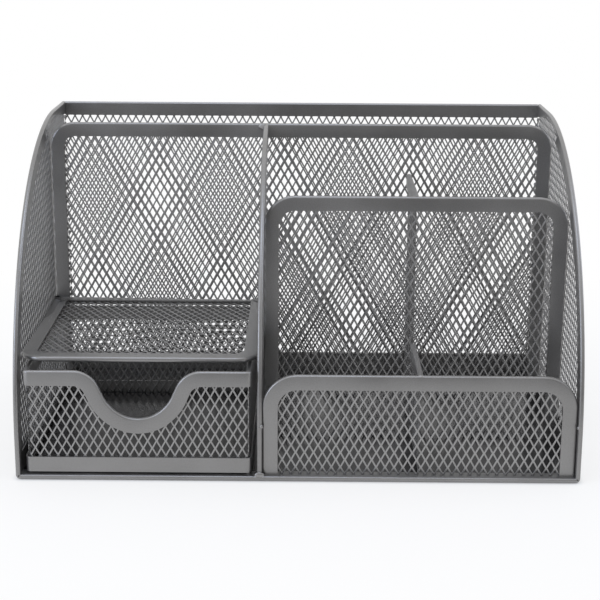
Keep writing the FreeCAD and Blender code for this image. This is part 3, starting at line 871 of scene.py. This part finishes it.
def makeDrawerBands():
    rim = drawerRing("drawerRimBand", sizes["innerChannel"], drawer["top"] - sizes["flange"], drawer["top"], True)
    frontGap = drawer["front"] + drawer["corner"]
    flatLeft = drawer["left"] + drawer["corner"]
    flatRight = drawer["right"] - drawer["corner"]
    startEdit(rim)
    pick(rim, "FACE", lambda face: True)
    bpy.ops.mesh.bisect(plane_co=Vector((flatLeft, 0, 0)) * mm, plane_no=(1, 0, 0))
    pick(rim, "FACE", lambda face: True)
    bpy.ops.mesh.bisect(plane_co=Vector((flatRight, 0, 0)) * mm, plane_no=(1, 0, 0))
    pick(rim, "FACE", lambda face: middle(face).y < frontGap * mm and flatLeft * mm < middle(face).x < flatRight * mm)
    bpy.ops.mesh.delete(type="FACE")
    pick(rim, "EDGE", lambda edge: edge.is_boundary)
    bpy.ops.mesh.fill_holes(sides=0)
    endEdit()
    finishPiece(rim, stripPaint, "drawer", ["drawer_rim_band"], smooth["strip"])
    # the floor's edge turned up round the outside of the sheet
    foot = drawerRing("drawerBottomBand", drawer["upstand"], drawer["bandLow"], drawer["bandHigh"], False)
    finishPiece(foot, stripPaint, "drawer", ["drawer_bottom_band"], smooth["strip"])


def wrapEnds(sheet, low, high, radius):
    # Bends the two ends of a flat sheet round the drawer's corners, away from the viewer
    for vert in sheet.data.vertices:
        x, y, z = vert.co
        for edge, side in ((low * mm, -1), (high * mm, 1)):
            over = (x - edge) * side
            if over > 0:
                angle = over / (radius * mm)
                reach = radius * mm + z
                vert.co = (edge + side * reach * math.sin(angle), y, reach * math.cos(angle) - radius * mm)


def cutScoop(sheet):
    # The front sheet stops behind the scooped band
    mould = scoopPlate("scoopMould")
    startEdit(mould)
    pick(mould, "FACE", lambda face: True)
    bpy.ops.mesh.inset(thickness=drawer["scoopTuck"] * mm, use_even_offset=True, use_boundary=True)
    # the inset's own faces go, and the one face inside them stays
    pick(mould, "FACE", lambda face: len(face.verts) < 5)
    bpy.ops.mesh.delete(type="FACE")
    endEdit()
    depth = mould.modifiers.new("depth", "SOLIDIFY")
    depth.thickness = 10 * mm
    depth.offset = 0
    applyModifiers(mould)
    cut = sheet.modifiers.new("cut", "BOOLEAN")
    cut.operation = "INTERSECT"
    cut.object = mould
    cut.solver = "EXACT"
    applyModifiers(sheet)
    bpy.data.objects.remove(mould)


def turnOver(sheet):
    # Mirrors a sheet front to back in the drawing plane
    sheet.data.transform(Matrix.Diagonal((1, 1, -1, 1)))
    startEdit(sheet)
    bpy.ops.mesh.select_all(action="SELECT")
    bpy.ops.mesh.flip_normals()
    endEdit()


drawerWalls = {
    "Front": {"way": "across", "ends": ("left", "right"), "inward": 1, "phase": 0.25},
    "Rear": {"way": "across", "ends": ("left", "right"), "inward": -1, "phase": 0.6},
    "Right": {"way": "along", "ends": ("front", "rear"), "inward": -1, "phase": 0.1},
    "Left": {"way": "along", "ends": ("front", "rear"), "inward": 1, "phase": 0.1},
}


def makeDrawerSheets():
    radius = drawer["corner"] - drawer["sheetOffset"]
    quarter = radius * math.pi / 4
    for name, wall in drawerWalls.items():
        low = drawer[wall["ends"][0]] + drawer["corner"]
        high = drawer[wall["ends"][1]] - drawer["corner"]
        sheet = drawSheet("drawer" + name + "Mesh", low - quarter, drawer["meshLow"], high + quarter,
                          drawer["top"] - sizes["tuck"], wall["phase"])
        thickenSheet(sheet)
        if name == "Front":
            cutScoop(sheet)
        wrapEnds(sheet, low, high, radius)
        if name in ("Rear", "Left"):
            turnOver(sheet)
        stand(sheet, wall["way"], drawer[name.lower()] + wall["inward"] * drawer["sheetOffset"])
        node = "drawer_" + name.lower() + "_mesh"
        finishPiece(sheet, litMeshPaint, "drawer", [node], smooth["mesh"])


makeFrontBand()
makeDrawerBands()
makeDrawerSheets()
bpy.data.objects.remove(diamondCell)
print("drawer made")


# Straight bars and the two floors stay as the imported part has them

for nodeName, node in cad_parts.items():
    if not node.hide_render:
        node.data.materials.clear()
        # the two floors take the darker paint, painted shade of the dim inside
        node.data.materials.append(shadedFloorPaint if "floor_sheet" in nodeName else stripPaint)


# Studio: white sweep, bright overhead, dimmer towards the room in front, where the tent's light dims and the floor's
# colour is painted darker as painted shade

studio = {
    "floorWidth": 16000.0, "floorDrop": 0.2,  # just under the base, so that the two never share a plane
    # painted shade: the floor's colour goes from near white to dark grey between these two distances in front, so
    # that the metal reflects a dim room
    "floorNear": "#EEEEEE", "floorFarShade": "#5A5A5A", "farFrom": -160.0, "farTo": -420.0,
    # the floor's own shadow shows under the object, faintly from the edge distance on, and none beyond its reach
    "footprint": (108.0, 68.0, 0.0), "shadowEdge": 4.0, "shadowReach": 200.0, "edgeShare": 0.72,
    # direction of the room in front, and how square to it the tent begins to dim and is dimmest
    "dimSide": (0.3, -0.87, -0.42), "dimFrom": 0.1, "dimTo": 0.85,
    "sky": "#F3F3F4", "skyLevel": 1.05, "room": "#F4F2EE", "roomLevel": 0.32, "lamp": "#CFDDFB",
}


def backdropShare(tree, dim):
    # Where a ray meets the white backdrop: all of what the camera sees, and in reflections the lit part
    path = addNode(tree, "ShaderNodeLightPath")
    mirrored = addNode(tree, "ShaderNodeMath", {"operation": "ADD"},
                       {0: path.outputs["Is Glossy Ray"], 1: path.outputs["Is Transmission Ray"]})
    lit = addNode(tree, "ShaderNodeMath", {"operation": "SUBTRACT", 0: 1.0}, {1: dim})
    mirrorLit = addNode(tree, "ShaderNodeMath", {"operation": "MULTIPLY"},
                        {0: mirrored.outputs[0], 1: lit.outputs[0]})
    return addNode(tree, "ShaderNodeMath", {"operation": "MAXIMUM"},
                   {0: path.outputs["Is Camera Ray"], 1: mirrorLit.outputs[0]}).outputs[0]


def makeFloor():
    bpy.ops.object.select_all(action="DESELECT")
    bpy.ops.mesh.primitive_plane_add(size=studio["floorWidth"] * mm, location=(0, 0, -studio["floorDrop"] * mm))
    floor = bpy.context.object
    floor.name = "studioFloor"
    material = bpy.data.materials.new("paleFloor")
    material.use_nodes = True
    tree = material.node_tree
    tree.nodes.clear()
    place = addNode(tree, "ShaderNodeTexCoord").outputs["Object"]
    axes = addNode(tree, "ShaderNodeSeparateXYZ", {}, {0: place})
    # painted shade: the sheet's colour is near white by the object and falls off to dark grey towards the room in
    # front
    fall = addNode(tree, "ShaderNodeMapRange", {
        "From Min": studio["farFrom"] * mm, "From Max": studio["farTo"] * mm}, {"Value": axes.outputs["Y"]})
    colour = addNode(tree, "ShaderNodeValToRGB", {}, {"Fac": fall.outputs["Result"]})
    colour.color_ramp.elements[0].color = shade(studio["floorNear"])
    colour.color_ramp.elements[1].color = shade(studio["floorFarShade"])
    white = addNode(tree, "ShaderNodeEmission", {"Color": (1, 1, 1, 1), "Strength": 1.0})
    # distance from the footprint in metres: under the object the floor shows its own shadow
    flat = addNode(tree, "ShaderNodeVectorMath", {"operation": "ABSOLUTE"}, {0: place})
    over = addNode(tree, "ShaderNodeVectorMath", {
        "operation": "SUBTRACT", 1: [c * mm for c in studio["footprint"]]}, {0: flat.outputs[0]})
    positive = addNode(tree, "ShaderNodeVectorMath", {"operation": "MAXIMUM", 1: (0, 0, 0)}, {0: over.outputs[0]})
    away = addNode(tree, "ShaderNodeVectorMath", {"operation": "LENGTH"}, {0: positive.outputs[0]})
    reach = addNode(tree, "ShaderNodeMapRange", {"From Min": 0, "From Max": studio["shadowReach"] * mm},
                    {"Value": away.outputs["Value"]})
    near = addNode(tree, "ShaderNodeValToRGB", {}, {"Fac": reach.outputs["Result"]})
    near.color_ramp.elements[0].color = (0, 0, 0, 1)
    near.color_ramp.elements[1].color = (1, 1, 1, 1)
    edge = near.color_ramp.elements.new(studio["shadowEdge"] / studio["shadowReach"])
    edge.color = [studio["edgeShare"]] * 3 + [1]
    matt = addNode(tree, "ShaderNodeBsdfDiffuse", {}, {"Color": colour.outputs["Color"]})
    share = addNode(tree, "ShaderNodeMath", {"operation": "MULTIPLY"},
                    {0: backdropShare(tree, fall.outputs["Result"]), 1: near.outputs["Color"]})
    mix = addNode(tree, "ShaderNodeMixShader", {}, {0: share.outputs[0], 1: matt.outputs[0], 2: white.outputs[0]})
    addNode(tree, "ShaderNodeOutputMaterial", {}, {"Surface": mix.outputs[0]})
    floor.data.materials.append(material)


def makeWorld():
    world = bpy.data.worlds.new("studioWorld")
    bpy.context.scene.world = world
    world.use_nodes = True
    tree = world.node_tree
    tree.nodes.clear()
    # tent: bright above, behind and at the sides, dim towards the room in front
    way = addNode(tree, "ShaderNodeTexCoord").outputs["Generated"]
    front = addNode(tree, "ShaderNodeVectorMath", {"operation": "DOT_PRODUCT", 1: studio["dimSide"]}, {0: way})
    dim = addNode(tree, "ShaderNodeMapRange", {"From Min": studio["dimFrom"], "From Max": studio["dimTo"]},
                  {"Value": front.outputs["Value"]})
    tent = addNode(tree, "ShaderNodeValToRGB", {}, {"Fac": dim.outputs["Result"]})
    tent.color_ramp.elements[0].color = [c * studio["skyLevel"] for c in shade(studio["sky"])[:3]] + [1]
    tent.color_ramp.elements[1].color = [c * studio["roomLevel"] for c in shade(studio["room"])[:3]] + [1]
    light = addNode(tree, "ShaderNodeBackground", {"Strength": 1.0}, {"Color": tent.outputs["Color"]})
    white = addNode(tree, "ShaderNodeBackground", {"Color": (1, 1, 1, 1), "Strength": 1.0})
    mix = addNode(tree, "ShaderNodeMixShader", {},
                  {0: backdropShare(tree, dim.outputs["Result"]), 1: light.outputs[0], 2: white.outputs[0]})
    addNode(tree, "ShaderNodeOutputWorld", {}, {"Surface": mix.outputs[0]})


# places and sizes in metres

lamps = {
    "topLamp": {"at": (-0.08, -0.26, 0.95), "size": 0.45, "power": 1.5},
    "rightLamp": {"at": (0.8, 0.1, 0.5), "size": 0.5, "power": 1.3},
    "leftLamp": {"at": (-0.75, -0.55, 0.35), "size": 0.35, "power": 2.0},
}
lampAim = (0, 0, 0.05)


def makeLamps():
    for name, lamp in lamps.items():
        bpy.ops.object.light_add(type="AREA", location=lamp["at"])
        light = bpy.context.object
        light.name = name
        light.data.size = lamp["size"]
        light.data.energy = lamp["power"]
        light.data.color = shade(studio["lamp"])[:3]
        ray = Vector(lampAim) - Vector(lamp["at"])
        light.rotation_euler = ray.to_track_quat("-Z", "Y").to_euler()


makeFloor()
makeWorld()
makeLamps()
bpy.context.scene.view_settings.view_transform = "Standard"
print("studio lit")
